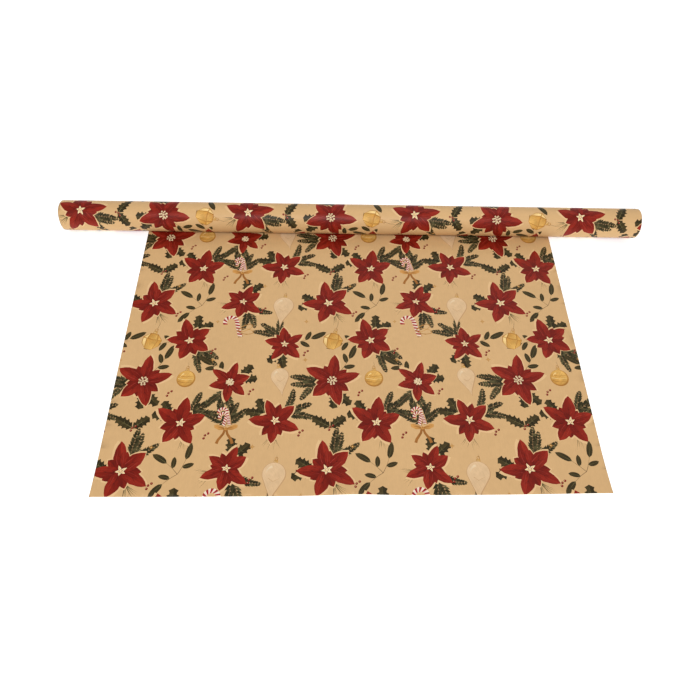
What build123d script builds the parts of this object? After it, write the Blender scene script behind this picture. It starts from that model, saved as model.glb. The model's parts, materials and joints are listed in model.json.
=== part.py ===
from build123d import *
import os
from math import atan2, ceil, cos, degrees, radians, sin

# A roll of gift-wrap sheets on a cardboard core, lying across one loose sheet of the same paper.
# The sheets are stacked and wound together, so each one is its own spiral strip, and each has slipped
# a little along the roll. The core is a tube of three cardboard plies. The loose sheet is folded nearly
# in half, with its fold under the roll and its print facing up, and lies slightly askew.
# Frame: origin at the middle of the core's bore, +X along the roll, -Y towards the loose sheet's open
# edge, +Z up. Angles are measured about +X from +Y towards +Z. Millimetres and degrees.

# The paper
sheet_width = 500.0
sheet_length = 700.0
paper = 0.08
air_gap = 0.02
rolled_sheets = 9
slips = (0.7, -0.6, 0.4, -0.9, 0.6, -0.3, 0.9, -0.5, 0.0)

# The core
core_radius = 12.7
ply = 0.5
core_plies = 3
core_clearance = 0.1

# Where the outer edges lie, at the back of the roll
outer_edge_angle = 354.0
edge_step_angle = 1.5
free_edge_angle = 50.0
crease_gap = 0.02

# The loose sheet
front_leaf_length = 354.0
fold_behind_axis = 14.7
sheet_turn = 0.9
fold_gap = 0.12
roll_clearance = 0.05

# The spiral is made of equal arcs, and each arc's radius grows by one step. The free edge has shorter
# arcs, so that flat facets on its curve stay well within the thickness of the paper.
arc_step = 40.0
free_edge_arc_step = 4.0
layer_pitch = paper + air_gap
turn_rise = rolled_sheets * layer_pitch
arc_rise = turn_rise * arc_step / 360
first_radius = core_radius + core_clearance
centre_offset = arc_rise / (2 * sin(radians(arc_step / 2)))


def polar(radius, angle):
    return Vector(radius * cos(radians(angle)), radius * sin(radians(angle)))


def wound_angle(length, radius):
    """How far round the core a strip winds from the start of the first arc, at this radius there."""
    angle = 0.0
    while length > radius * radians(arc_step):
        length -= radius * radians(arc_step)
        radius += arc_rise
        angle += arc_step
    return angle + degrees(length / radius)


def edge_angle(layer):
    """The outer edge of a layer. Layer 0 is next to the core, and each one under another shows a little."""
    return outer_edge_angle + (rolled_sheets - 1 - layer) * edge_step_angle


first_angle = edge_angle(0) - wound_angle(sheet_width, first_radius + paper / 2)


def arc_start(arc):
    return first_angle + arc * arc_step


def arc_centre(arc):
    return polar(centre_offset, arc_start(arc) + 90 + arc_step / 2)


def inside_radius(arc, layer):
    return first_radius + arc * arc_rise + layer * layer_pitch


def arc_at(angle):
    return int((angle - first_angle) // arc_step)


def spiral_point(angle, layer, height):
    """A point at a height above the inner face of a layer."""
    arc = arc_at(angle)
    return arc_centre(arc) + polar(inside_radius(arc, layer) + height, angle)


def inner_end(end, layer):
    """The angle where a sheet that is wound inwards from its outer end runs out."""
    length = sheet_width
    arc = arc_at(end)
    while True:
        middle_radius = inside_radius(arc, layer) + paper / 2
        here = middle_radius * radians(end - arc_start(arc))
        if here >= length or arc == 0:
            return end - degrees(min(length, here) / middle_radius)
        length -= here
        end = arc_start(arc)
        arc -= 1


def spiral_arcs(start, end):
    """The arcs of the spiral between two angles, each as (arc number, start angle, size)."""
    pieces = []
    for arc in range(arc_at(start), arc_at(end) + 1):
        low = max(start, arc_start(arc))
        high = min(end, arc_start(arc + 1))
        pieces.append((arc, low, high - low))
    return pieces


def wound_strip(start, end, layer, label):
    """A strip of paper on a layer of the spiral, between two angles, as long as the roll."""
    with BuildPart() as strip:
        with BuildSketch(Plane.YZ.offset(slips[layer] - sheet_length / 2)):
            with BuildLine():
                for arc, low, size in spiral_arcs(start, end):
                    for height in (0, paper):
                        CenterArc(arc_centre(arc), inside_radius(arc, layer) + height, low, size)
                for angle in (start, end):
                    Line(spiral_point(angle, layer, 0), spiral_point(angle, layer, paper))
            make_face()
        extrude(amount=sheet_length)
    strip.part.label = label
    return strip.part


def fine_strip(start, end, layer, label):
    """A wound strip whose radius grows evenly with angle, on short arcs that each have their own centre."""
    ends = [spiral_point(angle, layer, 0) for angle in (start, end)]
    radii = [point.length for point in ends]
    turns = [degrees(atan2(point.Y, point.X)) % 360 for point in ends]
    arcs = ceil((end - start) / free_edge_arc_step)

    def on_spiral(share, height):
        radius = radii[0] + share * (radii[1] - radii[0])
        return polar(radius + height, turns[0] + share * (turns[1] - turns[0]))

    with BuildPart() as strip:
        with BuildSketch(Plane.YZ.offset(slips[layer] - sheet_length / 2)):
            with BuildLine():
                for k in range(arcs):
                    for height in (0, paper):
                        ThreePointArc([on_spiral((k + part) / arcs, height) for part in (0, 0.5, 1)])
                for share in (0, 1):
                    Line(on_spiral(share, 0), on_spiral(share, paper))
            make_face()
        extrude(amount=sheet_length)
    strip.part.label = label
    return strip.part


def core_ply(number, label):
    """One ply of the core, counted from the bore."""
    outside = core_radius - (core_plies - 1 - number) * ply
    with BuildPart() as tube:
        with BuildSketch(Plane.YZ.offset(-sheet_length / 2)):
            Circle(outside)
            Circle(outside - ply, mode=Mode.SUBTRACT)
        extrude(amount=sheet_length)
    tube.part.label = label
    return tube.part

def loose_leaf(top, length, label):
    """One leaf of the loose sheet, by the height of its upper face and its length from the fold."""
    middle = Vector(0, fold_behind_axis - front_leaf_length / 2)
    middle += Vector(0, (front_leaf_length - length) / 2).rotate(Axis.Z, sheet_turn)
    with BuildPart() as leaf:
        with BuildSketch(Plane.XY.offset(top)):
            with Locations(middle):
                Rectangle(sheet_width, length, rotation=sheet_turn)
        extrude(amount=-paper)
    leaf.part.label = label
    return leaf.part

# The core, from the bore outwards
ply_names = ("core_inner_ply", "core_middle_ply", "core_outer_ply")
core = [core_ply(number, name) for number, name in enumerate(ply_names)]

# The rolled sheets, from the core outwards
outer_layer = rolled_sheets - 1
wound_sheets = []
for layer in range(outer_layer):
    outer_end = edge_angle(layer)
    wound_sheets.append(
        wound_strip(inner_end(outer_end, layer), outer_end, layer, f"rolled_sheet_{layer + 1}")
    )

# The outermost sheet is creased where its free edge lifts
crease_angle = outer_edge_angle - free_edge_angle
crease_gap_angle = degrees(crease_gap / inside_radius(arc_at(crease_angle), outer_layer))
outer_sheet = wound_strip(
    inner_end(outer_edge_angle, outer_layer), crease_angle - crease_gap_angle, outer_layer, "outer_sheet"
)
free_edge = fine_strip(crease_angle, outer_edge_angle, outer_layer, "outer_sheet_free_edge")

# The loose sheet, folded nearly in half under the roll
roll_reach = inside_radius(arc_at(outer_edge_angle), outer_layer) + paper + centre_offset
front_leaf_top = -roll_reach - roll_clearance
rear_leaf_top = front_leaf_top - paper - fold_gap
rear_leaf_length = sheet_length - front_leaf_length
front_leaf = loose_leaf(front_leaf_top, front_leaf_length, "loose_sheet_front_half")
rear_leaf = loose_leaf(rear_leaf_top, rear_leaf_length, "loose_sheet_rear_half")

os.makedirs("parts", exist_ok=True)
for piece in [*core, *wound_sheets, outer_sheet, free_edge, front_leaf, rear_leaf]:
    export_step(piece, f"parts/{piece.label}.step")
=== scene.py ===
import json
import random
from math import atan2, ceil, cos, degrees, floor, hypot, pi, radians, sin, sqrt

import bpy
import numpy as np
from mathutils import Matrix, Vector
from mathutils.geometry import delaunay_2d_cdt


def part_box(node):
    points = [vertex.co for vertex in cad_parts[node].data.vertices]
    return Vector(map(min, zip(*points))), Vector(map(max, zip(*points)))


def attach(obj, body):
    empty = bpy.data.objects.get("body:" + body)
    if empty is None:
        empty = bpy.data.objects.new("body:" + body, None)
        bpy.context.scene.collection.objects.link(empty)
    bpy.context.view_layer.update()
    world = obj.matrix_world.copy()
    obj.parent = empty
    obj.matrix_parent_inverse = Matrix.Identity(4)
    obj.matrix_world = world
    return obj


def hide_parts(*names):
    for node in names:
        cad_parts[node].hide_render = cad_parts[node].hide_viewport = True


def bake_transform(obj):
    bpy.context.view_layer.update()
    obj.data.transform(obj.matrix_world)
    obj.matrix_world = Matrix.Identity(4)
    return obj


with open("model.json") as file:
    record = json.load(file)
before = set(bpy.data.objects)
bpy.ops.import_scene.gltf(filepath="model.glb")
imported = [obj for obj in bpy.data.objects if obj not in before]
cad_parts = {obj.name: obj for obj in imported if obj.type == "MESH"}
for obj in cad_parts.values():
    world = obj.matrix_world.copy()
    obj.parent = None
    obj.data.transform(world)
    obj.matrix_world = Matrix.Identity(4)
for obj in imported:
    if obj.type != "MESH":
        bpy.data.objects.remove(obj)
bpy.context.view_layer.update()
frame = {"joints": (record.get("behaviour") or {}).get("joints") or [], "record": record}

# A wrapping paper roll lying across a folded sheet of the same paper. The print is drawn once, on a square
# tile, and cut into the paper's own mesh, so that each patch of ink is a set of faces. Lengths are in
# millimetres until a mesh is made. H runs across a sheet's 500 mm, V along its 700 mm, and the roll is
# wound along H. Round the roll, angles are measured about +X from +Y towards +Z, in degrees.

MM = 0.001
joints = {joint["name"]: joint for joint in frame["joints"]}
mounts = {mount["name"]: mount for mount in frame["record"]["mounts"]}


# ---------------------------------------------------------------- sizes, from the frame

core_low, core_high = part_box("core_outer_ply")
leaf_low, leaf_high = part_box("loose_sheet_front_half")
rear_low, rear_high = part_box("loose_sheet_rear_half")
ROLL_LENGTH = (core_high.x - core_low.x) / MM
CORE_RADIUS = core_high.z / MM
BORE_RADIUS = mounts["core_bore"]["dims"]["r_mm"]
PAPER = (leaf_high.z - leaf_low.z) / MM

SHEET_WIDTH = 500.0
ROLLED_SHEETS = 9
OUTER = ROLLED_SHEETS - 1
LAYER_PITCH = 0.1
TURN_RISE = ROLLED_SHEETS * LAYER_PITCH
OUTER_EDGE_ANGLE = 354.0
EDGE_STEP = 1.5
SLIPS = (0.7, -0.6, 0.4, -0.9, 0.6, -0.3, 0.9, -0.5, 0.0)

crease_y, crease_z = [part / MM for part in joints["free_edge_lift"]["pos_m"][1:]]
CREASE_ANGLE = degrees(atan2(crease_z, crease_y)) % 360
CREASE_RADIUS = hypot(crease_y, crease_z)

fold_at = Vector(joints["fold_open"]["pos_m"]) / MM
fold_along = Vector(joints["fold_open"]["axis"]).normalized()
fold_back = Vector((-fold_along.y, fold_along.x, 0))
FRONT_LEAF = (fold_at.y - (leaf_low.y + leaf_high.y) / 2 / MM) * 2 / fold_back.y


# ---------------------------------------------------------------- the print's inks

def ink_colour(red, green, blue):
    """A colour in linear light, from its 0 to 255 values."""
    levels = np.array((red, green, blue)) / 255
    return np.where(levels <= 0.04045, levels / 12.92, ((levels + 0.055) / 1.055) ** 2.4)


def pigment(start, end, side, streak):
    """An ink: colours where a stroke starts and ends, darkening towards its sides, and brush streaks."""
    return ink_colour(*start), ink_colour(*end), side, streak


INKS = {
    "ground": pigment((213, 173, 122), (213, 173, 122), 0.0, 0.05),
    "halo": pigment((232, 184, 140), (226, 188, 136), 0.0, 0.05),
    "shade": pigment((176, 130, 84), (206, 168, 116), -0.15, 0.10),
    "red_deep": pigment((93, 16, 6), (114, 23, 10), 0.12, 0.30),
    "red": pigment((110, 20, 8), (137, 31, 15), 0.10, 0.34),
    "red_bright": pigment((126, 26, 12), (153, 41, 24), 0.06, 0.36),
    "red_vein": pigment((82, 12, 6), (102, 19, 10), 0.0, 0.1),
    "red_glint": pigment((164, 54, 46), (182, 74, 58), 0.0, 0.2),
    "cream": pigment((250, 232, 194), (244, 214, 160), 0.08, 0.1),
    "stamen": pigment((120, 60, 40), (90, 30, 24), 0.0, 0.1),
    "green_deep": pigment((42, 36, 14), (54, 44, 20), 0.08, 0.35),
    "green": pigment((53, 45, 20), (71, 59, 30), 0.10, 0.38),
    "green_pale": pigment((124, 112, 70), (98, 90, 54), 0.0, 0.2),
    "fir_deep": pigment((39, 36, 15), (54, 47, 24), 0.0, 0.3),
    "fir": pigment((52, 47, 24), (75, 66, 38), 0.0, 0.35),
    "fir_pale": pigment((72, 66, 38), (97, 88, 56), 0.0, 0.3),
    "olive": pigment((70, 60, 26), (101, 90, 44), 0.14, 0.35),
    "twig": pigment((98, 72, 46), (128, 98, 62), 0.0, 0.2),
    "gold_deep": pigment((170, 112, 46), (196, 140, 66), 0.1, 0.25),
    "gold": pigment((202, 144, 64), (228, 180, 98), 0.12, 0.26),
    "gold_pale": pigment((246, 214, 148), (236, 194, 120), 0.0, 0.2),
    "ribbon_deep": pigment((148, 94, 42), (172, 112, 52), 0.1, 0.25),
    "ribbon": pigment((184, 126, 60), (206, 150, 82), 0.14, 0.28),
    "pearl_deep": pigment((192, 150, 106), (200, 160, 116), 0.0, 0.1),
    "pearl": pigment((216, 180, 136), (224, 190, 148), 0.0, 0.12),
    "pearl_glint": pigment((234, 208, 170), (226, 196, 156), 0.0, 0.1),
    "cane_red": pigment((150, 24, 34), (178, 44, 50), 0.16, 0.2),
    "cane_white": pigment((246, 226, 206), (236, 208, 184), 0.14, 0.1),
}
INK_NAMES = list(INKS)
TILE = 200.0
artwork = []
dice = random.Random(11)


class Pen:
    """Draws inked outlines on the tile. Its own frame starts at (x, y), with its first axis at a heading."""

    def __init__(self, x, y, heading=0.0, size=1.0, parent=None):
        turn = radians(heading)
        self.place = np.array(((cos(turn), -sin(turn), x), (sin(turn), cos(turn), y), (0, 0, 1)))
        self.place[:2, :2] *= size
        if parent is not None:
            self.place = parent.place @ self.place

    def at(self, points):
        points = np.asarray(points, float).reshape(-1, 2)
        return points @ self.place[:2, :2].T + self.place[:2, 2]

    def fill(self, ink, outline, start=(0, 0), end=(1, 0), half_width=1.0):
        """One closed patch of ink. Its brush runs from start to end."""
        ends = self.at((start, end))
        stroke = ends[1] - ends[0]
        size = sqrt(abs(np.linalg.det(self.place[:2, :2])))
        length = float(np.hypot(*stroke))
        ring = self.at(outline)
        after = np.roll(ring, -1, axis=0)
        if (ring[:, 0] * after[:, 1] - ring[:, 1] * after[:, 0]).sum() < 0:
            ring = ring[::-1]
        artwork.append({
            "outline": ring, "ink": INK_NAMES.index(ink), "start": ends[0],
            "along": stroke / length, "length": length, "half_width": half_width * size,
        })

    def stroke(self, ink, path, width, end_width=0.0):
        """A brush stroke along a path that narrows from one width to the other."""
        path = np.asarray(path, float)
        side = normals(path) * np.linspace(width, end_width, len(path))[:, None] / 2
        left, right = path + side, path - side
        if end_width == 0:
            right = right[:-1]
        self.fill(ink, np.vstack((left, right[::-1])), path[0], path[-1], width / 2)

    def disc(self, ink, x, y, radius, across=None, sides=12):
        """A round or oval patch of ink."""
        turns = np.linspace(0, 2 * pi, sides, endpoint=False)
        across = radius if across is None else across
        ring = np.stack((x + radius * np.cos(turns), y + across * np.sin(turns)), axis=1)
        self.fill(ink, ring, (x - radius, y - radius), (x + radius * 0.7, y + radius), radius)


def normals(path):
    """Unit vectors to the left of a path, at each of its points."""
    heading = np.gradient(path, axis=0)
    heading /= np.hypot(heading[:, 0], heading[:, 1])[:, None]
    return np.stack((-heading[:, 1], heading[:, 0]), axis=1)


def arc_path(x, y, radius, first, last, steps=8):
    turns = np.radians(np.linspace(first, last, steps))
    return np.stack((x + radius * np.cos(turns), y + radius * np.sin(turns)), axis=1)


def bent_path(length, bend, steps=6):
    """A path along the first axis that ends a share of its length to the side."""
    share = np.linspace(0, 1, steps)
    return np.stack((length * share, bend * length * share ** 2), axis=1)


# ---------------------------------------------------------------- the print's motifs

def blade_sides(length, width, bend, root, point, steps, ripple=0.0):
    """Midrib and two edges of a pointed leaf. Small root and point values give blunt ends."""
    share = np.linspace(0, 1, steps)
    middle = bent_path(length, bend, steps)
    widest = root / (root + point)
    peak = widest ** root * (1 - widest) ** point
    half = width / 2 * share ** root * (1 - share) ** point / peak
    half = half * (1 + ripple * np.sin(share * 17 + length))
    across = np.stack((0 * half, half), axis=1)
    return middle, middle + across, middle - across


def fill_between(pen, ink, one, other, width):
    """Fills between two lines that meet at both ends."""
    pen.fill(ink, np.vstack((one, other[-2:0:-1])), one[0], one[-1], width / 2)


def blade(pen, ink, length, width, bend=0.0, root=0.6, point=0.8, steps=8):
    _, left, right = blade_sides(length, width, bend, root, point, steps)
    fill_between(pen, ink, left, right, width)


def petal(pen, length, width, back):
    """A bract of a poinsettia: two halves of different red, a midrib, side veins and light brush marks."""
    bend = dice.uniform(-0.12, 0.12)
    middle, left, right = blade_sides(length, width, bend, 0.75, 0.85, 9, 0.05)
    lit, dim = ("red", "red_deep") if back else ("red_bright", "red")
    if bend < 0:
        lit, dim = dim, lit
    fill_between(pen, lit, left, middle, width)
    fill_between(pen, dim, middle, right, width)
    for edge in (left, right):
        for share in (3, 5):
            rib = middle[share - 2] * 0.5 + middle[share - 1] * 0.5
            reach = rib * 0.2 + edge[share + 1] * 0.8
            pen.stroke("red_vein", (rib, rib * 0.45 + reach * 0.55 + (0.3, 0), reach), 0.35)
        glint = (middle[2:7] + edge[2:7]) / 2
        if dice.random() < 0.7:
            pen.stroke("red_glint", glint, 0.1 + 0.035 * width * dice.random(), 0)
    pen.stroke("red_vein", middle[:-1], 0.7)


def star_centre(pen, radius):
    """Small cream bracts round a poinsettia's middle."""
    pen.disc("red_deep", 0, 0, radius * 0.75, sides=9)
    for turn in range(0, 360, 72):
        heading = turn + dice.uniform(-14, 14)
        reach = radius * dice.uniform(0.85, 1.25)
        ray = Pen(0, 0, heading, parent=pen)
        blade(ray, "cream", reach, radius * 0.5, 0.0, 0.4, 1.0, 6)
        blade(ray, "gold", reach * 0.7, radius * 0.14, 0.0, 0.4, 1.0, 4)
    for turn in range(5):
        heading = radians(turn * 72 + 40)
        pen.disc("stamen", radius * 0.3 * cos(heading), radius * 0.3 * sin(heading), 0.45, sides=6)


def dotted_centre(pen, radius):
    """A cluster of round buds."""
    pen.disc("red_deep", 0, 0, radius * 1.05, sides=10)
    for count, ring, start in ((8, 0.95, 0), (5, 0.55, 20), (1, 0, 0)):
        for k in range(count):
            heading = radians(start + 360 * k / count + dice.uniform(-12, 12))
            x, y = ring * radius * cos(heading), ring * radius * sin(heading)
            pen.disc("cream", x, y, dice.uniform(0.85, 1.25), sides=8)
            pen.disc("stamen", x + 0.15, y - 0.1, 0.42, sides=5)


def poinsettia(x, y, radius, turn, count, centre):
    """A flower of two rings of bracts, over a pale halo."""
    flower = Pen(x, y, turn)
    rings = []
    for back in (True, False):
        for k in range(count):
            heading = (k + (0.5 if back else 0.0)) / count * 360 + dice.uniform(-7, 7)
            length = radius * (dice.uniform(0.60, 0.78) if back else dice.uniform(0.94, 1.14))
            width = radius * (dice.uniform(0.32, 0.40) if back else dice.uniform(0.42, 0.52))
            rings.append((back, heading, length, width))
    for back, heading, length, width in rings:
        blade(Pen(0, 0, heading, parent=flower), "halo", length + 1.6, width + 1.5)
    for back, heading, length, width in rings:
        petal(Pen(0, 0, heading, parent=flower), length, width, back)
    if centre == "star":
        star_centre(flower, radius * 0.19)
    else:
        dotted_centre(flower, radius * 0.16)


def holly_leaf(pen, length, width):
    """A leaf with sharp spines and hollow edges between them, light along its midrib."""
    spines = 4
    edges = []
    for side in (1, -1):
        edge = []
        for k in range(spines):
            share = (k + 0.75) / (spines + 0.4)
            peak = width / 2 * (0.62 + 0.55 * sin(pi * share))
            edge.append((length * (share + 0.03), side * peak))
            for step in (0.35, 0.7):
                between = (k + 0.75 + step) / (spines + 0.4)
                hollow = width / 2 * (0.62 + 0.55 * sin(pi * between)) * (0.62 if step < 0.5 else 0.66)
                edge.append((length * between, side * hollow))
        edges.append([(length * 0.06, side * width * 0.12)] + edge[:-1])
    tip = (length, 0)
    pen.fill("green", [(0, 0)] + edges[0] + [tip], (0, 0), tip, width / 2)
    pen.fill("green_deep", ([(0, 0)] + edges[1] + [tip])[::-1], (0, 0), tip, width / 2)
    for edge in edges:
        for k in (1, 4, 7):
            root = (edge[k][0] - length * 0.15, 0)
            pen.stroke("green_pale", (root, np.array(edge[k]) * 0.75 + np.array(root) * 0.25), 0.3)
    pen.stroke("green_pale", ((-length * 0.12, 0), (length * 0.4, 0), (length * 0.9, 0)), 0.75)


def fir_frond(pen, length, width, bend):
    """A feathery frond: a stem with pairs of needles that shorten towards the tip."""
    stem = bent_path(length, bend, 6)
    pairs = int(length / 2.9)
    for k in range(pairs):
        share = (k + 0.6) / pairs
        x, y = length * share * 0.94, bend * length * (share * 0.94) ** 2
        lean = degrees(atan2(2 * bend * share, 1))
        reach = width * 0.78 * (1 - share) ** 0.4 * (0.6 + 0.4 * min(1, share * 5))
        for side in (1, -1):
            heading = lean + side * dice.uniform(33, 46)
            ink = dice.choice(("fir_deep", "fir_deep", "fir", "fir", "fir_pale"))
            needle = Pen(x, y, heading, parent=pen)
            blade(needle, ink, reach * dice.uniform(0.95, 1.2), 2.9, side * 0.06, 0.35, 0.7, 4)
    tip = Pen(stem[-1][0] * 0.9, stem[-1][1] * 0.85, lean, parent=pen)
    blade(tip, "fir", width * 0.3, 1.6, 0, 0.3, 0.8, 4)
    pen.stroke("twig", stem, 0.8, 0.2)


def pine_spray(pen, count, reach, spread):
    """Long thin needles that fan out of one point."""
    for k in range(count):
        heading = ((k + 0.5) / count - 0.5) * spread + dice.uniform(-3, 3)
        needle = Pen(0, 0, heading, parent=pen)
        bend = 0.10 if heading > 0 else -0.10
        length = reach * dice.uniform(0.75, 1.05)
        needle.stroke(dice.choice(("olive", "green", "green_pale")), bent_path(length, bend, 4), 0.75)


def olive_leaf(pen, length, width):
    blade(pen, "green", length, width, 0.08, 0.55, 0.6, 7)
    pen.stroke("green_pale", bent_path(length * 0.9, 0.07, 4), 0.35)


def twig(pen, length, bend, leaves, size):
    """A thin stem with a leaf at its tip and more along its sides."""
    pen.stroke("twig", bent_path(length, bend, 6), 0.5, 0.25)
    tip = bent_path(length, bend, 2)[-1]
    olive_leaf(Pen(tip[0], tip[1], degrees(atan2(2 * bend, 1)), parent=pen), size * 1.2, size * 0.42)
    for k in range(leaves):
        share = (k + 1) / (leaves + 1)
        side = 1 if k % 2 else -1
        stalk = Pen(length * share, bend * length * share ** 2, side * 48, parent=pen)
        olive_leaf(stalk, size * 0.8, size * 0.34)


BERRY = 1.35


def berries(x, y, places):
    for dx, dy in places:
        spot = Pen(x + dx, y + dy)
        spot.disc("red_deep", 0, 0, BERRY, sides=9)
        spot.disc("red_bright", -0.15, 0.15, BERRY * 0.72, sides=8)
        spot.disc("cream", -0.4, 0.45, BERRY * 0.22, sides=5)


def hanger(pen, y, string):
    """A bauble's gold cap with its ring, and the string above."""
    pen.stroke("twig", ((0, y + 4.5), (0.5, y + 4.5 + string * 0.5), (-0.4, y + 4.5 + string)), 0.3, 0.2)
    pen.stroke("gold_deep", arc_path(0, y + 4.4, 1.4, -70, 250, 9), 0.55, 0.5)
    cap = ((-2.2, y - 0.5), (2.2, y - 0.5), (1.8, y + 3), (-1.8, y + 3))
    pen.fill("gold_deep", cap, (-2.2, y), (2.2, y), 3)
    for k in (-1, 0, 1):
        low, high = k * 1.3, k * 1.1
        rib = (low - 0.25, y), (low + 0.25, y), (high + 0.2, y + 2.6), (high - 0.2, y + 2.6)
        pen.fill("gold_pale", rib)


def round_bauble(x, y, radius):
    bauble = Pen(x, y, dice.uniform(-6, 6))
    hanger(bauble, radius - 0.5, 6)
    bauble.disc("gold_deep", 0, 0, radius, sides=28)
    bauble.disc("gold", -0.06 * radius, 0.06 * radius, radius * 0.9, sides=24)
    for level in (-0.35, 0.0, 0.35):
        half = sqrt(1 - level ** 2) * 0.84 * radius
        band = [(-half, level * radius), (0, level * radius - 1.3), (half, level * radius)]
        bauble.stroke("gold_deep" if level else "gold_pale", band, 0.7, 0.5)
    bauble.stroke("gold_pale", arc_path(0, 0, radius * 0.68, 115, 165, 6), 1.4, 0.3)


def lantern_bauble(x, y, size, turn):
    """A faceted gold ornament, wide at its shoulder and cut off at its foot."""
    lamp = Pen(x, y, turn, size / 10)
    hanger(lamp, 9.2, 14)
    ring = [(-4, 9), (4, 9), (10, 3), (9, -4), (3, -10), (-3, -10), (-9, -4), (-10, 3)]
    lamp.fill("gold_deep", ring, (-10, 9), (8, -10), 10)
    for top, low, half_top, half_low in ((8.4, 2.6, 3.4, 4.6), (2.2, -9.3, 5.4, 3.6)):
        facet = ((-half_top, top), (half_top, top), (half_low, low), (-half_low, low))
        lamp.fill("gold", facet, facet[0], facet[2], 6)
    shoulder, flank = ((4.4, 8.2), (5.6, 2.6), (9, 2.9)), ((9.2, 2.0), (6.2, 2.0), (4.6, -8.0), (8.2, -4.0))
    for side_facet in (shoulder, flank):
        for side, ink in ((-1, "gold_pale"), (1, "gold")):
            facet = [(side * px, py) for px, py in side_facet]
            lamp.fill(ink, facet, facet[0], facet[2], 6)
    lamp.stroke("gold_deep", ((-5.6, 2.4), (0, 1.4), (5.6, 2.4)), 0.5, 0.4)


def pearl_drop(x, y, width, height, turn):
    """A pale ornament: round above, drawn out to a point below."""
    drop = Pen(x, y, turn)
    hanger(drop, width / 2 - 0.6, 3)
    top = arc_path(0, 0, width / 2, -20, 200, 16)
    foot = np.array(((-0.30, -0.32), (-0.08, -0.58), (0, -0.78), (0.08, -0.58), (0.30, -0.32)))
    outline = np.vstack((top, foot * (width, height)))
    for ink, ring in (("pearl_deep", outline), ("pearl", outline * (0.93, 0.95) + (-0.2, 0.2))):
        drop.fill(ink, ring, (width / 2, -height / 2), (-width / 3, height / 3), width / 2)
    drop.stroke("pearl_glint", arc_path(0, 0, width * 0.33, 110, 175, 6), 2.4, 0.6)
    fold = ((-width * 0.2, -height * 0.12), (0, -height * 0.2), (width * 0.24, -height * 0.1))
    drop.stroke("pearl_deep", fold, 0.5, 0.3)


def candy_cane(x, y, turn, length, width):
    """A striped stick with a hooked top, drawn as bands from its foot to its tip."""
    cane = Pen(x, y, turn)
    hook = width * 1.45
    straight = np.stack((np.zeros(12), np.linspace(0, length, 12)), axis=1)
    path = np.vstack((straight, arc_path(-hook, length, hook, 12, 205, 12)))
    cane.stroke("shade", path + (0.5, -0.5), width + 1.0, width + 0.6)
    side = normals(path) * width / 2
    left, right = path + side, path - side
    for k in range(len(path) - 2):
        band = (right[k], left[k + 1], left[k + 2], right[k + 1])
        cane.fill("cane_red" if k % 2 else "cane_white", band, right[k], left[k], width)


def ribbon_bow(x, y, turn, size):
    """Two folded loops, a knot and two tails that widen to square ends."""
    bow = Pen(x, y, turn, size)
    for flip in (1, -1):
        tail = [(0, -0.5 * flip), (-6, -2.2 * flip), (-13, -7 * flip), (-17, -8.4 * flip)]
        bow.stroke("ribbon_deep", tail, 2.4, 3.2)
        loop = np.array(((0, 0), (2, 3), (5, 9), (4.4, 12.6), (1, 12.2), (-1.6, 7), (-1.4, 2))) * (1, flip)
        bow.fill("ribbon", loop, (0, 0), (3, 12 * flip), 5)
        bow.stroke("ribbon_deep", ((0, 0.6 * flip), (1.2, 5 * flip), (2.4, 10.5 * flip)), 1.2, 0.3)
    bow.disc("ribbon", 0, 0, 2.0, 1.7, 9)
    bow.disc("ribbon_deep", 0.3, -0.2, 0.9, 0.7, 7)


def twine_bow(x, y, turn, size):
    """A bow of thin string with loose ends."""
    bow = Pen(x, y, turn, size)
    for flip in (1, -1):
        share = np.linspace(0.15, 2 * pi - 0.4, 15)
        away = 1 - np.cos(share)
        reach = np.stack((8.5 * away, flip * (2.2 * away + 3.6 * np.sin(share))), axis=1)
        bow.stroke("ribbon", reach, 0.7, 0.6)
        bow.stroke("ribbon", ((0, 0), (4, -4 * flip), (9, -6.5 * flip), (13, -6 * flip)), 0.7, 0.4)
    bow.disc("ribbon_deep", 0, 0, 1.1, sides=8)


def sparkle(x, y, radius):
    """A small gold star of eight thin rays."""
    spot = Pen(x, y, dice.uniform(-8, 8))
    for k in range(8):
        reach = radius * (1.0 if k % 2 == 0 else 0.62)
        ray = Pen(0, 0, 45 * k, parent=spot)
        ray.fill("gold_deep", ((0, -0.5), (reach, 0), (0, 0.5)), (0, 0), (reach, 0), 0.5)
    spot.disc("gold_pale", 0, 0, 0.55, sides=6)


# ---------------------------------------------------------------- the print's arrangement

def fronds(x, y, turns, length, width):
    for turn in turns:
        frond = Pen(x, y, turn + dice.uniform(-5, 5))
        fir_frond(frond, length * dice.uniform(1.05, 1.3), width * 1.22, dice.choice((-0.16, 0.16)))


def holly_sprig(x, y, turns, length):
    for turn in turns:
        holly_leaf(Pen(x, y, turn), length * dice.uniform(1.05, 1.25), length * 0.62)


# Flowers stand on every other place of a square grid, scattered a little. Ornaments take the places between.
ROWS = 4
SPACING = TILE / ROWS
SCATTER = 5.0


def grid_places(odd):
    return [
        [(step + 0.5) * SPACING + dice.uniform(-SCATTER, SCATTER) for step in (column, row)]
        for column in range(ROWS) for row in range(ROWS) if (column + row) % 2 == odd
    ]


def foliage(x, y, radius, index):
    """Fir on one side of a flower and holly on another. Flowers take turns to have pine or a twig as well."""
    first = dice.uniform(0, 360)
    for side, kind in enumerate(("fir", "holly", ("pine", "twig")[index % 2])):
        turn = first + side * 120 + dice.uniform(-15, 15)
        at = (x + 0.5 * radius * cos(radians(turn)), y + 0.5 * radius * sin(radians(turn)))
        if kind == "fir":
            fronds(*at, (turn - 34, turn, turn + 34), 26, 8)
        elif kind == "holly":
            holly_sprig(*at, (turn - 28, turn + 28), 18)
        elif kind == "pine":
            pine_spray(Pen(*at, turn), 9, 20, 54)
        else:
            twig(Pen(*at, turn), 18, 0.1, 2, 16)


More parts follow.
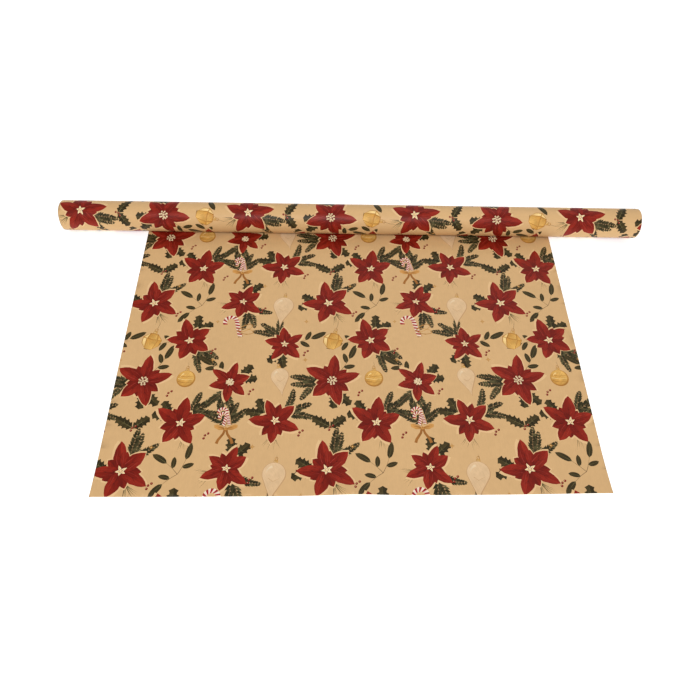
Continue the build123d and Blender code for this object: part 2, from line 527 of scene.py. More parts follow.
def bouquet(x, y):
    fronds(x, y + 2, (30, 70, 110, 150), 24, 8)
    candy_cane(x - 3, y, -12, 14, 3.2)
    candy_cane(x + 3, y + 1, 12, 10, 3.0)
    ribbon_bow(x, y - 3, 90, 0.95)


def tied_cane(x, y):
    candy_cane(x, y, 14, 22, 4.6)
    twine_bow(x - 3, y + 8, 10, 1.0)


def holly_cluster(x, y):
    holly_sprig(x, y, (35, 150), 18)
    berries(x, y, ((0, 0), (3, 1.6), (-1, -3)))


def twig_cluster(x, y):
    for turn in (60, 130, 210):
        twig(Pen(x, y, turn), 16, 0.12, 1, 15)


def draw_tile():
    flowers = [(x, y, dice.uniform(22, 29)) for x, y in grid_places(0)]
    for index, (x, y, radius) in enumerate(flowers):
        foliage(x, y, radius, index)

    ornaments = [
        bouquet, tied_cane, holly_cluster, twig_cluster,
        lambda x, y: pearl_drop(x, y, 24, 38, -6),
        lambda x, y: pearl_drop(x, y, 20, 32, 9),
        lambda x, y: lantern_bauble(x, y, 11, -14),
        lambda x, y: round_bauble(x, y, 10),
    ]
    dice.shuffle(ornaments)
    for draw, (x, y) in zip(ornaments, grid_places(1)):
        draw(x, y)

    for index, (x, y, radius) in enumerate(flowers):
        centre = "dots" if index % 4 == 1 else "star"
        poinsettia(x, y, radius, dice.uniform(0, 360), dice.choice((5, 6, 6, 7)), centre)
        berries(x + radius, y - radius / 2, ((0, 0), (3, 2), (-1, -3.2)))

    # small stars in the gaps
    for column in range(ROWS):
        for row in range(column % 2, ROWS, 3):
            sparkle(column * SPACING, row * SPACING, dice.uniform(2.6, 3.6))


draw_tile()


# ---------------------------------------------------------------- cutting the print into flat paper

# How close points are taken as one in a cut, the decimals of a joined corner, and how close lies on a line
SNAP = 1e-4
ROUNDING = 3
ON_LINE = 2e-3
# The tile is cut in squares of this size, because one large cut takes far longer than many small ones
CELL = 25.0


def cut_cell(h_low, v_low):
    """Triangles of one square of the tile. Each one's facts are the topmost artwork on it and its shift."""
    corner = np.array((h_low, v_low))
    points = [(0, 0), (CELL, 0), (CELL, CELL), (0, CELL)]
    outlines, facts = [[0, 1, 2, 3]], [(-1, 0.0, 0.0)]
    for number, art in enumerate(artwork):
        low, high = art["outline"].min(axis=0) - corner, art["outline"].max(axis=0) - corner
        for i in range(ceil(-high[0] / TILE), floor((CELL - low[0]) / TILE) + 1):
            for j in range(ceil(-high[1] / TILE), floor((CELL - low[1]) / TILE) + 1):
                shift = np.array((i, j)) * TILE
                outlines.append(list(range(len(points), len(points) + len(art["outline"]))))
                points += [tuple(point) for point in art["outline"] + shift - corner]
                facts.append((number, *shift))
    cut = delaunay_2d_cdt([Vector(point) for point in points], [], outlines, 1, SNAP, True)
    flat = np.array([tuple(vertex) for vertex in cut[0]])
    places = [np.array(points)[ring] for ring in outlines]
    boxes = np.array([(*place.min(axis=0), *place.max(axis=0)) for place in places])
    faces, seen = [], []
    for face, sources in zip(cut[2], cut[5]):
        if 0 in sources:
            x, y = flat[face].mean(axis=0)
            near = [k for k in sources if boxes[k, 0] <= x <= boxes[k, 2] and boxes[k, 1] <= y <= boxes[k, 3]]
            faces.append(face)
            seen.append(max(near, key=lambda source: facts[source][0]))
    return flat + corner, np.array(faces), np.array(facts)[seen]


def welded(points, faces, facts):
    """Joins corners that share a place, and drops triangles that close up."""
    places, index = np.unique(np.round(points, ROUNDING) + 0.0, axis=0, return_inverse=True)
    faces = index.ravel()[faces]
    whole = (faces[:, 0] != faces[:, 1]) & (faces[:, 1] != faces[:, 2]) & (faces[:, 0] != faces[:, 2])
    return places, faces[whole], facts[whole]


def joined(pieces):
    """Puts several meshes of triangles into one."""
    points, faces, facts = zip(*pieces)
    offsets = np.cumsum([0] + [len(part) for part in points[:-1]])
    faces = [part + offset for part, offset in zip(faces, offsets)]
    return welded(np.vstack(points), np.vstack(faces), np.vstack(facts))


cells = [(i * CELL, j * CELL) for i in range(int(TILE / CELL)) for j in range(int(TILE / CELL))]
tile_mesh = joined([cut_cell(h, v) for h, v in cells])


def split(mesh, axis, value):
    """Cuts every triangle that crosses a line of constant H (axis 0) or V (axis 1)."""
    points, faces, facts = mesh
    level = points[:, axis] - value
    signs = np.where(np.abs(level) < ON_LINE, 0, np.sign(level)).astype(int)[faces]
    crossing = (signs.min(axis=1) < 0) & (signs.max(axis=1) > 0)
    if not crossing.any():
        return mesh
    made = [points]

    def meet(first, second):
        """New points where edges meet the line. An edge gives the same point from either side."""
        low, high = np.minimum(first, second), np.maximum(first, second)
        share = level[low] / (level[low] - level[high])
        place = points[low] + share[:, None] * (points[high] - points[low])
        place[:, axis] = value
        count = sum(len(part) for part in made)
        made.append(place)
        return np.arange(count, count + len(place))

    signs = signs[crossing]
    touching = (signs == 0).any(axis=1)
    lone = np.where(touching, np.argmax(signs == 0, axis=1),
                    np.argmax(signs * signs.sum(axis=1, keepdims=True) < 0, axis=1))
    rows = np.arange(len(signs))
    corners = np.stack([faces[crossing][rows, (lone + k) % 3] for k in range(3)])
    a, b, c = corners[:, touching]
    middle = meet(b, c)
    parts = [(a, b, middle), (a, middle, c)]
    a, b, c = corners[:, ~touching]
    near, far = meet(a, b), meet(a, c)
    parts += [(a, near, far), (near, b, c), (near, c, far)]
    cut_facts = facts[crossing]
    return (
        np.vstack(made),
        np.vstack([faces[~crossing]] + [np.stack(part, 1) for part in parts]),
        np.vstack([facts[~crossing]] + [cut_facts[touching]] * 2 + [cut_facts[~touching]] * 3),
    )


def cropped(mesh, axis, low, high):
    points, faces, facts = split(split(mesh, axis, low), axis, high)
    middle = points[faces][..., axis].mean(axis=1)
    inside = (middle > low) & (middle < high)
    return points, faces[inside], facts[inside]


def printed_patch(h_range, v_range, h_cuts=(), v_cuts=()):
    """Triangles of flat paper, and the artwork that each shows. The cuts are extra lines across the patch."""
    (h_low, h_high), (v_low, v_high) = h_range, v_range
    pieces = []
    for i in range(floor(h_low / TILE), ceil(h_high / TILE)):
        for j in range(floor(v_low / TILE), ceil(v_high / TILE)):
            shift = np.array((i, j)) * TILE
            mesh = tile_mesh[0] + shift, tile_mesh[1], tile_mesh[2] + (0, *shift)
            for axis, (low, high) in enumerate((h_range, v_range)):
                start = shift[axis]
                if start < low or start + TILE > high:
                    mesh = cropped(mesh, axis, max(low, start), min(high, start + TILE))
            pieces.append(mesh)
    mesh = joined(pieces)
    for axis, cuts in ((0, h_cuts), (1, v_cuts)):
        for value in cuts:
            mesh = split(mesh, axis, value)
    points, faces, facts = welded(*mesh)
    used, faces = np.unique(faces, return_inverse=True)
    return {
        "points": points[used], "faces": faces.reshape(-1, 3),
        "art": facts[:, 0].astype(int), "shift": facts[:, 1:],
        "h": h_range, "v": v_range, "h_cuts": h_cuts, "v_cuts": v_cuts,
    }


art_start = np.array([art["start"] for art in artwork] + [(0, 0)])
art_along = np.array([art["along"] for art in artwork] + [(1, 0)])
art_length = np.array([art["length"] for art in artwork] + [1.0])
art_half = np.array([art["half_width"] for art in artwork] + [1.0])
art_ink = np.array([art["ink"] for art in artwork] + [INK_NAMES.index("ground")])
ink_start = np.array([INKS[name][0] for name in INK_NAMES])
ink_end = np.array([INKS[name][1] for name in INK_NAMES])
ink_side = np.array([INKS[name][2] for name in INK_NAMES])
ink_streak = np.array([INKS[name][3] for name in INK_NAMES])


def inked(patch):
    """Ink colour with streak strength, and brush coordinates, for each corner of a patch's triangles."""
    art = patch["art"]
    at = patch["points"][patch["faces"]] - patch["shift"][:, None, :] - art_start[art][:, None, :]
    along = (at * art_along[art][:, None, :]).sum(axis=2)
    across = at[..., 1] * art_along[art][:, None, 0] - at[..., 0] * art_along[art][:, None, 1]
    ink = art_ink[art]
    share = np.clip(along / art_length[art][:, None], 0, 1)[..., None]
    side = np.clip(np.abs(across) / art_half[art][:, None], 0, 1) ** 2
    colour = ink_start[ink][:, None, :] * (1 - share) + ink_end[ink][:, None, :] * share
    colour = colour * (1 - ink_side[ink][:, None] * side)[..., None]
    streak = np.broadcast_to(ink_streak[ink][:, None], side.shape)
    ground = np.broadcast_to((art < 0)[:, None], side.shape)
    seed = np.broadcast_to((art * 7.31)[:, None], side.shape)
    brush = np.where(ground, at[..., 0], across), np.where(ground, at[..., 1], along), seed
    inks = np.concatenate((colour, streak[..., None]), axis=2)
    return inks.reshape(-1, 4), np.stack(brush, axis=2).reshape(-1, 3)


# ---------------------------------------------------------------- meshes

PRINT, BACK, EDGE = 0, 1, 2


def in_scene(name, data):
    made = bpy.data.objects.new(name, data)
    bpy.context.scene.collection.objects.link(made)
    return made


def make_mesh(name, vertices, faces, slots, smooth, materials, inks=None, brushes=None):
    """A mesh object in the row frame. Inks and brushes hold one row for each corner of the first faces."""
    mesh = bpy.data.meshes.new(name)
    mesh.from_pydata((np.asarray(vertices) * MM).tolist(), [], [list(map(int, face)) for face in faces])
    for material in materials:
        mesh.materials.append(material)
    mesh.polygons.foreach_set("material_index", np.asarray(slots, np.int32))
    mesh.polygons.foreach_set("use_smooth", np.asarray(smooth, bool))
    if inks is not None:
        corners = len(mesh.loops)
        colour = np.tile(np.append(ink_start[0], 0.05), (corners, 1))
        brush = np.zeros((corners, 3))
        colour[:len(inks)] = inks
        brush[:len(brushes)] = brushes
        for layer, kind, field, values in (
            ("ink", "FLOAT_COLOR", "color", colour), ("brush", "FLOAT_VECTOR", "vector", brush),
        ):
            made = mesh.attributes.new(layer, kind, "CORNER")
            made.data.foreach_set(field, values.astype(np.float32).ravel())
    mesh.update()
    return in_scene(name, mesh)


def rim(patch):
    """A patch's outer corners in order, anticlockwise, and where each side of the rectangle starts."""
    h, v = patch["points"][:, 0], patch["points"][:, 1]
    (h_low, h_high), (v_low, v_high) = patch["h"], patch["v"]
    front, right, back, left = (
        np.flatnonzero(np.abs(place - edge) < ON_LINE)
        for place, edge in ((v, v_low), (h, h_high), (v, v_high), (h, h_low))
    )
    sides = (front[np.argsort(h[front])], right[np.argsort(v[right])],
             back[np.argsort(-h[back])], left[np.argsort(-v[left])])
    return np.concatenate([side[:-1] for side in sides]), sides


def back_patch(patch):
    """A coarse copy of a patch with the same rim: its points, triangles and each rim corner's place."""
    points = patch["points"][rim(patch)[0]]
    (h_low, h_high), (v_low, v_high) = patch["h"], patch["v"]

    def nearest(h, v):
        return int(np.argmin(np.hypot(points[:, 0] - h, points[:, 1] - v)))

    edges = [(nearest(h, v_low), nearest(h, v_high)) for h in patch["h_cuts"]]
    edges += [(nearest(h_low, v), nearest(h_high, v)) for v in patch["v_cuts"]]
    cut = delaunay_2d_cdt([Vector(p) for p in points], edges, [list(range(len(points)))], 1, SNAP, True)
    place = np.zeros(len(points), int)
    for made, sources in enumerate(cut[3]):
        for source in sources:
            if source < len(points):
                place[source] = made
    return np.array([tuple(vertex) for vertex in cut[0]]), [list(face) for face in cut[2]], place


def paper_mesh(name, vertices, faces, slots, patch):
    """A sheet whose first faces are a patch's. Its cut edges are flat, and the rest of it is smooth."""
    smooth = [slot != EDGE for slot in slots]
    return make_mesh(name, vertices, faces, slots, smooth, PAPER_FINISH, *inked(patch))


def printed_sheet(name, patch, front, back):
    """Paper with thickness: the print on its front, plain paper on its back and its cut edges."""
    ring = rim(patch)[0]
    plain, plain_faces, place = back_patch(patch)
    offset = len(patch["points"])
    vertices = np.vstack((front(patch["points"]), back(plain)))
    faces = [list(face) for face in patch["faces"]]
    faces += [[corner + offset for corner in face[::-1]] for face in plain_faces]
    count = len(ring)
    for k in range(count):
        after = (k + 1) % count
        faces.append([ring[after], ring[k], place[k] + offset, place[after] + offset])
    slots = [PRINT] * len(patch["faces"]) + [BACK] * len(plain_faces) + [EDGE] * count
    return paper_mesh(name, vertices, faces, slots, patch)


def placed(sheet, body, node):
    """A sheet of printed paper that moves with one body and stands for one CAD solid."""
    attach(sheet, body)
    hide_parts(node)


# ---------------------------------------------------------------- materials

def material(name):
    made = bpy.data.materials.new(name)
    made.use_nodes = True
    return made, made.node_tree, made.node_tree.nodes["Principled BSDF"]


def attribute(tree, name):
    node = tree.nodes.new("ShaderNodeAttribute")
    node.attribute_name = name
    return node


def noise(tree, vector, scale, detail=3.0, roughness=0.5):
    node = tree.nodes.new("ShaderNodeTexNoise")
    node.inputs["Scale"].default_value = scale
    node.inputs["Detail"].default_value = detail
    node.inputs["Roughness"].default_value = roughness
    tree.links.new(vector, node.inputs["Vector"])
    return node.outputs["Fac"]


def maths(tree, operation, first, second, third=None):
    node = tree.nodes.new("ShaderNodeMath")
    node.operation = operation
    for socket, value in zip(node.inputs, (first, second, third)):
        if value is None:
            continue
        if isinstance(value, (int, float)):
            socket.default_value = value
        else:
            tree.links.new(value, socket)
    return node.outputs["Value"]


def scaled(tree, vector, factors):
    node = tree.nodes.new("ShaderNodeVectorMath")
    node.operation = "MULTIPLY"
    node.inputs[1].default_value = factors
    tree.links.new(vector, node.inputs[0])
    return node.outputs["Vector"]


def tinted(tree, colour, factor):
    node = tree.nodes.new("ShaderNodeVectorMath")
    node.operation = "SCALE"
    tree.links.new(colour, node.inputs[0])
    tree.links.new(factor, node.inputs["Scale"])
    return node.outputs["Vector"]


def bumped(tree, shader, layers):
    """Stacks bump layers, each (height, depth in metres, strength), onto a shader's normal."""
    normal = None
    for height, depth, strength in layers:
        bump = tree.nodes.new("ShaderNodeBump")
        bump.inputs["Distance"].default_value = depth
        bump.inputs["Strength"].default_value = strength
        tree.links.new(height, bump.inputs["Height"])
        if normal is not None:
            tree.links.new(normal, bump.inputs["Normal"])
        normal = bump.outputs["Normal"]
    tree.links.new(normal, shader.inputs["Normal"])


def printed_paper():
    """Satin-coated paper under watercolour inks: brush streaks, pooled pigment, fibres and soft waves."""
    made, tree, shader = material("printed_paper")
    ink, brush = attribute(tree, "ink"), attribute(tree, "brush")
    place = tree.nodes.new("ShaderNodeTexCoord").outputs["Object"]
    streaks = noise(tree, scaled(tree, brush.outputs["Vector"], (1.3, 0.16, 1.0)), 1.0, 3.0, 0.6)
    pools = noise(tree, brush.outputs["Vector"], 0.16, 2.0, 0.5)
    streaked, pooled = maths(tree, "MULTIPLY", streaks, 0.6), maths(tree, "MULTIPLY", pools, 0.4)
    mixed = maths(tree, "ADD", streaked, pooled)
    centred = maths(tree, "MULTIPLY", maths(tree, "SUBTRACT", mixed, 0.5), 5.0)
    brushed = maths(tree, "MULTIPLY_ADD", centred, ink.outputs["Alpha"], 1.0)
    fibres = noise(tree, place, 2600.0, 4.0, 0.7)
    clouds = noise(tree, place, 14.0, 3.0, 0.55)
    grain = maths(tree, "MULTIPLY_ADD", fibres, 0.10, 0.95)
    mottled = maths(tree, "MULTIPLY", grain, maths(tree, "MULTIPLY_ADD", clouds, 0.10, 0.95))
    colour = tinted(tree, ink.outputs["Color"], maths(tree, "MULTIPLY", brushed, mottled))
    tree.links.new(colour, shader.inputs["Base Color"])
    tree.links.new(maths(tree, "MULTIPLY_ADD", fibres, 0.14, 0.36), shader.inputs["Roughness"])
    shader.inputs["Specular IOR Level"].default_value = 0.16
    waves = noise(tree, scaled(tree, place, (1.0, 0.8, 1.0)), 9.0, 2.0, 0.45)
    bumped(tree, shader, ((waves, 0.0022, 0.5), (fibres, 0.00002, 0.35)))
    return made


def plain_paper(name, colour, strength):
    """Uncoated paper with fibres and faint clouds."""
    made, tree, shader = material(name)
    place = tree.nodes.new("ShaderNodeTexCoord").outputs["Object"]
    fibres = noise(tree, place, 2200.0, 5.0, 0.7)
    clouds = noise(tree, place, 26.0, 4.0, 0.6)
    base = tree.nodes.new("ShaderNodeRGB")
    base.outputs[0].default_value = (*colour, 1)
    grain = maths(tree, "MULTIPLY_ADD", fibres, strength, 1 - strength / 2)
    mottled = maths(tree, "MULTIPLY", grain, maths(tree, "MULTIPLY_ADD", clouds, 0.08, 0.96))
    tree.links.new(tinted(tree, base.outputs[0], mottled), shader.inputs["Base Color"])
    tree.links.new(maths(tree, "MULTIPLY_ADD", fibres, 0.12, 0.68), shader.inputs["Roughness"])
    bumped(tree, shader, ((fibres, 0.00004, 0.4),))
    return made


paper_print = printed_paper()
paper_back = plain_paper("paper_back", ink_colour(238, 226, 200), 0.08)
paper_edge = plain_paper("paper_edge", ink_colour(226, 206, 166), 0.16)
card = plain_paper("cardboard", ink_colour(150, 124, 92), 0.34)
PAPER_FINISH = (paper_print, paper_back, paper_edge)


# ---------------------------------------------------------------- the loose sheet

LIFT_DEPTH = 46.0
# Where the front edge stands off the table: (H, height, half width)
LIFTS = ((0.0, 1.6, 45.0), (252.0, 4.6, 34.0), (500.0, 3.0, 70.0))
FRONT_TOP = leaf_high.z / MM
FRONT_BOTTOM = leaf_low.z / MM
REAR_TOP = rear_high.z / MM
REAR_BOTTOM = rear_low.z / MM


def leaf_points(flat, reach, height):
    """Places flat paper on a leaf. Reach is each point's distance in front of the fold."""
    across = (flat[:, 0] - SHEET_WIDTH / 2)[:, None]
    base = np.array(fold_at) + across * np.array(fold_along) - reach[:, None] * np.array(fold_back)
    base[:, 2] = height
    return base


def lift(flat):
    share = np.clip(1 - flat[:, 1] / LIFT_DEPTH, 0, 1) ** 2
    height = sum(peak * np.exp(-((flat[:, 0] - middle) / half) ** 2) for middle, peak, half in LIFTS)
    return height * share


def front_leaf(height):
    return lambda flat: leaf_points(flat, FRONT_LEAF - flat[:, 1], height + lift(flat))


def rear_leaf(height):
    return lambda flat: leaf_points(flat, flat[:, 1] - FRONT_LEAF, np.full(len(flat), height))


def fold_strip(radius):
    """The bend between the leaves, round the fold's own axis."""
    def place(flat):
        turn = pi * np.clip((flat[:, 1] - FRONT_LEAF) / FOLD_WIDTH + 0.5, 0, 1)
        base = leaf_points(flat, -radius * np.sin(turn), 0)
        base[:, 2] = fold_at.z + radius * np.cos(turn)
        return base
    return place


FOLD_OUTER = (FRONT_TOP - REAR_BOTTOM) / 2
FOLD_INNER = (FRONT_BOTTOM - REAR_TOP) / 2
FOLD_WIDTH = pi * (FOLD_OUTER + FOLD_INNER) / 2
# Each leaf stops this far short of the fold, so that they do not meet when the sheet is opened flat
FOLD_ROOM = 0.02
# Close enough together that the coarse back stays inside the paper where the edge is lifted
across_cuts = tuple(np.arange(12.0, 190.0, 12.0)) + tuple(np.arange(192.0, 316.0, 5.0))
across_cuts += tuple(np.arange(324.0, SHEET_WIDTH, 12.0))
front_cuts = tuple(np.arange(4.0, LIFT_DEPTH + 4, 4.0)) + tuple(np.arange(70.0, FRONT_LEAF - 10, 40.0))
front_patch = printed_patch((0, SHEET_WIDTH), (0, FRONT_LEAF - FOLD_ROOM), across_cuts, front_cuts)
front = printed_sheet("loose_sheet_front", front_patch, front_leaf(FRONT_TOP), front_leaf(FRONT_BOTTOM))
placed(front, "loose_front", "loose_sheet_front_half")
rear_patch = printed_patch((0, SHEET_WIDTH), (FRONT_LEAF + FOLD_ROOM, ROLL_LENGTH))
rear = printed_sheet("loose_sheet_rear", rear_patch, rear_leaf(REAR_BOTTOM), rear_leaf(REAR_TOP))
placed(rear, "loose_rear", "loose_sheet_rear_half")
strip_range = (FRONT_LEAF - FOLD_WIDTH / 2, FRONT_LEAF + FOLD_WIDTH / 2)
fold_cuts = tuple(np.linspace(*strip_range, 9)[1:-1])
fold_patch = printed_patch((0, SHEET_WIDTH), strip_range, (), fold_cuts)
fold = printed_sheet("loose_sheet_fold", fold_patch, fold_strip(FOLD_OUTER), fold_strip(FOLD_INNER))
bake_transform(fold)


# ---------------------------------------------------------------- the rolled sheets

RISE = TURN_RISE / (2 * pi)
# Flat facets this many degrees apart sag less than the gap between two sheets
ROUND_STEP = 4.0
END_CUTS = (6.0, 18.0, ROLL_LENGTH - 18.0, ROLL_LENGTH - 6.0)


def inner_radius(angle, layer):
    """The inner face of a layer of the spiral, set by the outer sheet's crease."""
    return CREASE_RADIUS - PAPER + TURN_RISE * (angle - CREASE_ANGLE) / 360 + (layer - OUTER) * LAYER_PITCH


def edge_angle(layer):
    return OUTER_EDGE_ANGLE + (OUTER - layer) * EDGE_STEP


def angle_at(h, layer):
    """The angle where a sheet's width coordinate comes to lie, wound inwards from its outer edge."""
    outer = inner_radius(edge_angle(layer), layer) + PAPER / 2
    return edge_angle(layer) - np.degrees((outer - np.sqrt(outer ** 2 - 2 * RISE * (SHEET_WIDTH - h))) / RISE)


def width_at(angle, layer):
    """The inverse of angle_at."""
    outer = inner_radius(edge_angle(layer), layer) + PAPER / 2
    turned = radians(edge_angle(layer) - angle)
    return SHEET_WIDTH - outer * turned + RISE * turned ** 2 / 2


def ragged(angle, layer, right):
    """How far a sheet's cut edge stands out along the roll, round the spiral."""
    size = 0.85 if layer == OUTER else 0.25
    turn = np.radians(angle)
    seed = 1.7 * layer + 2.3 * right
    return size * (0.6 * np.sin(2 * turn + seed) + 0.4 * np.sin(5 * turn + 2 * seed))


def wound_points(angle, v, layer, height):
    """Places points of a wound sheet by angle, length coordinate and height above the layer's inner face."""
    angle, v = np.asarray(angle, float), np.asarray(v, float)
    radius = inner_radius(angle, layer) + height
    turn = np.radians(angle)
    fade = 30.0
    left = ragged(angle, layer, 0) * np.clip(1 - v / fade, 0, 1) ** 2
    right = ragged(angle, layer, 1) * np.clip(1 - (ROLL_LENGTH - v) / fade, 0, 1) ** 2
    x = v - ROLL_LENGTH / 2 + SLIPS[layer] - left + right
    return np.stack((x, radius * np.cos(turn), radius * np.sin(turn)), axis=1)


def wound_sheet(name, layer, band_start, band_end):
    """A wound sheet with its print between two angles, where it shows. The rest is plain, inside the roll."""
    h_range = (width_at(band_start, layer), width_at(band_end, layer))
    steps = max(2, int((band_end - band_start) / ROUND_STEP))
    cuts = tuple(np.linspace(*h_range, steps + 1)[1:-1])
    patch = printed_patch(h_range, (0, ROLL_LENGTH), cuts, END_CUTS)
    ring, sides = rim(patch)
    plain, plain_faces, place = back_patch(patch)
    where = {int(corner): k for k, corner in enumerate(ring)}
    inner_end = float(angle_at(0.0, layer))
    turns = np.linspace(inner_end, band_start, ceil((band_start - inner_end) / ROUND_STEP) + 1)[:-1]
    count = len(turns)
    vertices = np.vstack((
        wound_points(angle_at(patch["points"][:, 0], layer), patch["points"][:, 1], layer, PAPER),
        wound_points(angle_at(plain[:, 0], layer), plain[:, 1], layer, 0),
        *(wound_points(turns, np.full(count, v), layer, height)
          for height in (PAPER, 0) for v in (0, ROLL_LENGTH)),
    ))
    inside = len(patch["points"])
    out_left, out_right, in_left, in_right = [inside + len(plain) + k * count for k in range(4)]
    faces = [list(face) for face in patch["faces"]]
    slots = [PRINT] * len(faces)

    def add(face, slot):
        faces.append([int(corner) for corner in face])
        slots.append(slot)

    for face in plain_faces:
        add([corner + inside for corner in face[::-1]], BACK)
    join = sides[3]
    join_back = [place[where[int(corner)]] + inside for corner in join]
    for side in sides[:3]:
        for first, second in zip(side[:-1], side[1:]):
            a, b = place[where[int(first)]] + inside, place[where[int(second)]] + inside
            add((second, first, a, b), EDGE)
    for k in range(count - 1):
        add((out_left + k, out_left + k + 1, out_right + k + 1, out_right + k), PRINT)
        add((in_left + k, in_right + k, in_right + k + 1, in_left + k + 1), BACK)
        add((out_left + k + 1, out_left + k, in_left + k, in_left + k + 1), EDGE)
        add((out_right + k, out_right + k + 1, in_right + k + 1, in_right + k), EDGE)
    last = count - 1
    add([out_left + last, *join[::-1], out_right + last], PRINT)
    add([in_right + last, *join_back, in_left + last], BACK)
    add((join[-1], out_left + last, in_left + last, join_back[-1]), EDGE)
    add((out_right + last, join[0], join_back[0], in_right + last), EDGE)
    add((out_left, out_right, in_right, in_left), EDGE)
    return paper_mesh(name, vertices, faces, slots, patch)


# Degrees: where the outer sheet's print starts and where its separate flap piece begins, and how much print
# shows on the others
OUTER_PRINT_START = -4.0
FLAP_START = CREASE_ANGLE - 4
UNDER_FLAP = 70.0
VISIBLE_STEP = 6.0
for layer in range(OUTER):
    shown_for = UNDER_FLAP if layer == OUTER - 1 else VISIBLE_STEP
    edge, node = edge_angle(layer), f"rolled_sheet_{layer + 1}"
    placed(wound_sheet(f"{node}_paper", layer, edge - shown_for, edge), "rolled_sheets", node)

placed(wound_sheet("outer_sheet_paper", OUTER, OUTER_PRINT_START, FLAP_START), "rolled_sheets", "outer_sheet")


def flap_points(height):
    return lambda flat: wound_points(angle_at(flat[:, 0], OUTER), flat[:, 1], OUTER, height)


flap_range = (width_at(FLAP_START, OUTER), SHEET_WIDTH)
flap_cuts = tuple(np.linspace(*flap_range, 16)[1:-1])
flap_patch = printed_patch(flap_range, (0, ROLL_LENGTH), flap_cuts, END_CUTS)
flap = printed_sheet("outer_sheet_flap", flap_patch, flap_points(PAPER), flap_points(0))
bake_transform(flap)
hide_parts("outer_sheet_free_edge")


# ---------------------------------------------------------------- the core

SEAM_PITCH = 96.0
SEAM_GAP = 0.55
TUBE_STEP = 5.0


def seamed_tube(name, inner, outer, first_seam):
    """A ply of the core: a ribbon wound as a helix, with an open seam. It is cut flat and then rolled up."""
    half = ROLL_LENGTH / 2
    points = [(0, -half), (360, -half), (360, half), (0, half)]
    outlines = [[0, 1, 2, 3]]
    for turn in range(-1, ceil(ROLL_LENGTH / SEAM_PITCH) + 1):
        x = -half + first_seam + turn * SEAM_PITCH
        outlines.append(list(range(len(points), len(points) + 4)))
        points += [(0, x), (360, x + SEAM_PITCH), (360, x + SEAM_PITCH + SEAM_GAP), (0, x + SEAM_GAP)]
    edges = []
    for angle in np.arange(TUBE_STEP, 360, TUBE_STEP):
        edges.append((len(points), len(points) + 1))
        points += [(angle, -half), (angle, half)]
    cut = delaunay_2d_cdt([Vector(point) for point in points], edges, outlines, 1, SNAP, True)
    kept = [face for face, sources in zip(cut[2], cut[5]) if list(sources) == [0]]
    flat = np.array([tuple(vertex) for vertex in cut[0]])
    keys, place = {}, {}
    for corner in sorted({corner for face in kept for corner in face}):
        key = (round(flat[corner][0], 3) % 360, round(flat[corner][1], 3))
        place[corner] = keys.setdefault(key, len(keys))
    rolled = np.array(list(keys))
    turn = np.radians(rolled[:, 0])
    across = np.stack((np.cos(turn), np.sin(turn)), axis=1)
    shell = [np.column_stack((rolled[:, 1], radius * across)) for radius in (outer, inner)]
    offset = len(rolled)
    outside = [[place[corner] for corner in face] for face in kept]
    faces = outside + [[corner + offset for corner in face[::-1]] for face in outside]
    smooth = [True] * len(faces)
    open_edges = {}
    for face in outside:
        for first, second in zip(face, face[1:] + face[:1]):
            if not open_edges.pop((second, first), False):
                open_edges[first, second] = True
    walls = [[b, a, a + offset, b + offset] for a, b in open_edges]
    smooth += [False] * len(walls)
    tube = make_mesh(name, np.vstack(shell), faces + walls, [0] * len(smooth), smooth, (card,))
    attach(tube, "core")
    return tube


PLY = (CORE_RADIUS - BORE_RADIUS) / 3
PLY_SKIN = 0.01
for number, node in enumerate(("core_inner_ply", "core_middle_ply", "core_outer_ply")):
    inner = BORE_RADIUS + number * PLY
    first_seam = SEAM_PITCH * (number + 1) / 3
    tube = seamed_tube(f"{node}_card", inner + PLY_SKIN, inner + PLY - PLY_SKIN, first_seam)
    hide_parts(node)


# ---------------------------------------------------------------- floor, light and camera

# Metres
FLOOR_HALF = 6.0
UNDER_SHEET = 0.00005


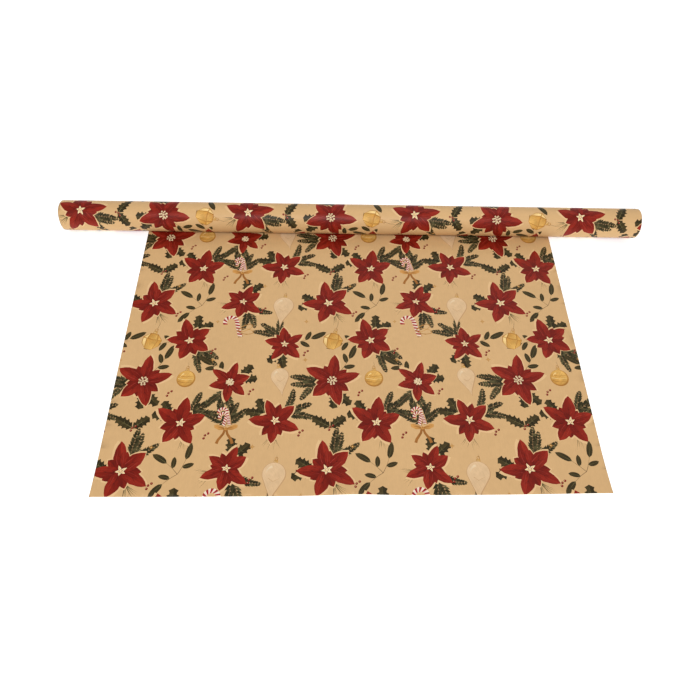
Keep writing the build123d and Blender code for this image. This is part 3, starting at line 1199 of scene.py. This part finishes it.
def floor_plane():
    made, _, shader = material("floor")
    shader.inputs["Base Color"].default_value = (0.9, 0.9, 0.9, 1)
    shader.inputs["Roughness"].default_value = 0.8
    shader.inputs["Emission Color"].default_value = (1, 1, 1, 1)
    shader.inputs["Emission Strength"].default_value = 0.4
    mesh = bpy.data.meshes.new("floor")
    half, height = FLOOR_HALF, rear_low.z - UNDER_SHEET
    corners = [(-half, -half, height), (half, -half, height), (half, half, height), (-half, half, height)]
    mesh.from_pydata(corners, [], [(0, 1, 2, 3)])
    mesh.materials.append(made)
    in_scene("floor", mesh)


def area_light(name, place, aim, size, power):
    data = bpy.data.lights.new(name, "AREA")
    data.size = size
    data.energy = power
    light = in_scene(name, data)
    light.location = place
    light.rotation_euler = (Vector(aim) - Vector(place)).to_track_quat("-Z", "Y").to_euler()


def white_world(strength):
    """A backdrop that is plain white to the camera and lights the scene at a lower strength."""
    world = bpy.data.worlds.new("studio")
    world.use_nodes = True
    tree = world.node_tree
    backdrop = tree.nodes["Background"].inputs
    seen = tree.nodes.new("ShaderNodeLightPath").outputs["Is Camera Ray"]
    tree.links.new(maths(tree, "MULTIPLY_ADD", seen, 1.0 - strength, strength), backdrop["Strength"])
    backdrop["Color"].default_value = (1, 1, 1, 1)
    bpy.context.scene.world = world


def camera():
    """The view from above the loose sheet's open edge."""
    place = Vector((-0.0086, -0.5028, 0.5254))
    turn, dip, bank = radians(-1.35), radians(59.06), radians(1.85)
    ahead = Vector((-cos(dip) * sin(turn), cos(dip) * cos(turn), -sin(dip)))
    level = Vector((cos(turn), sin(turn), 0))
    above = level.cross(ahead)
    right = cos(bank) * level + sin(bank) * above
    up = -sin(bank) * level + cos(bank) * above
    data = bpy.data.cameras.new("camera")
    data.sensor_width = 36.0
    data.lens = 29.63
    data.clip_start, data.clip_end = 0.01, 50.0
    made = in_scene("camera", data)
    made.matrix_world = Matrix.Translation(place) @ Matrix((right, up, -ahead)).transposed().to_4x4()
    bpy.context.scene.camera = made


floor_plane()
white_world(0.46)
area_light("key", (-0.2, -2.3, 3.0), (0, 0.3, 0), 0.9, 76)
area_light("fill", (0.6, 1.4, 2.0), (0, 0.1, 0), 1.6, 8)
camera()
bpy.context.scene.view_settings.view_transform = "Standard"
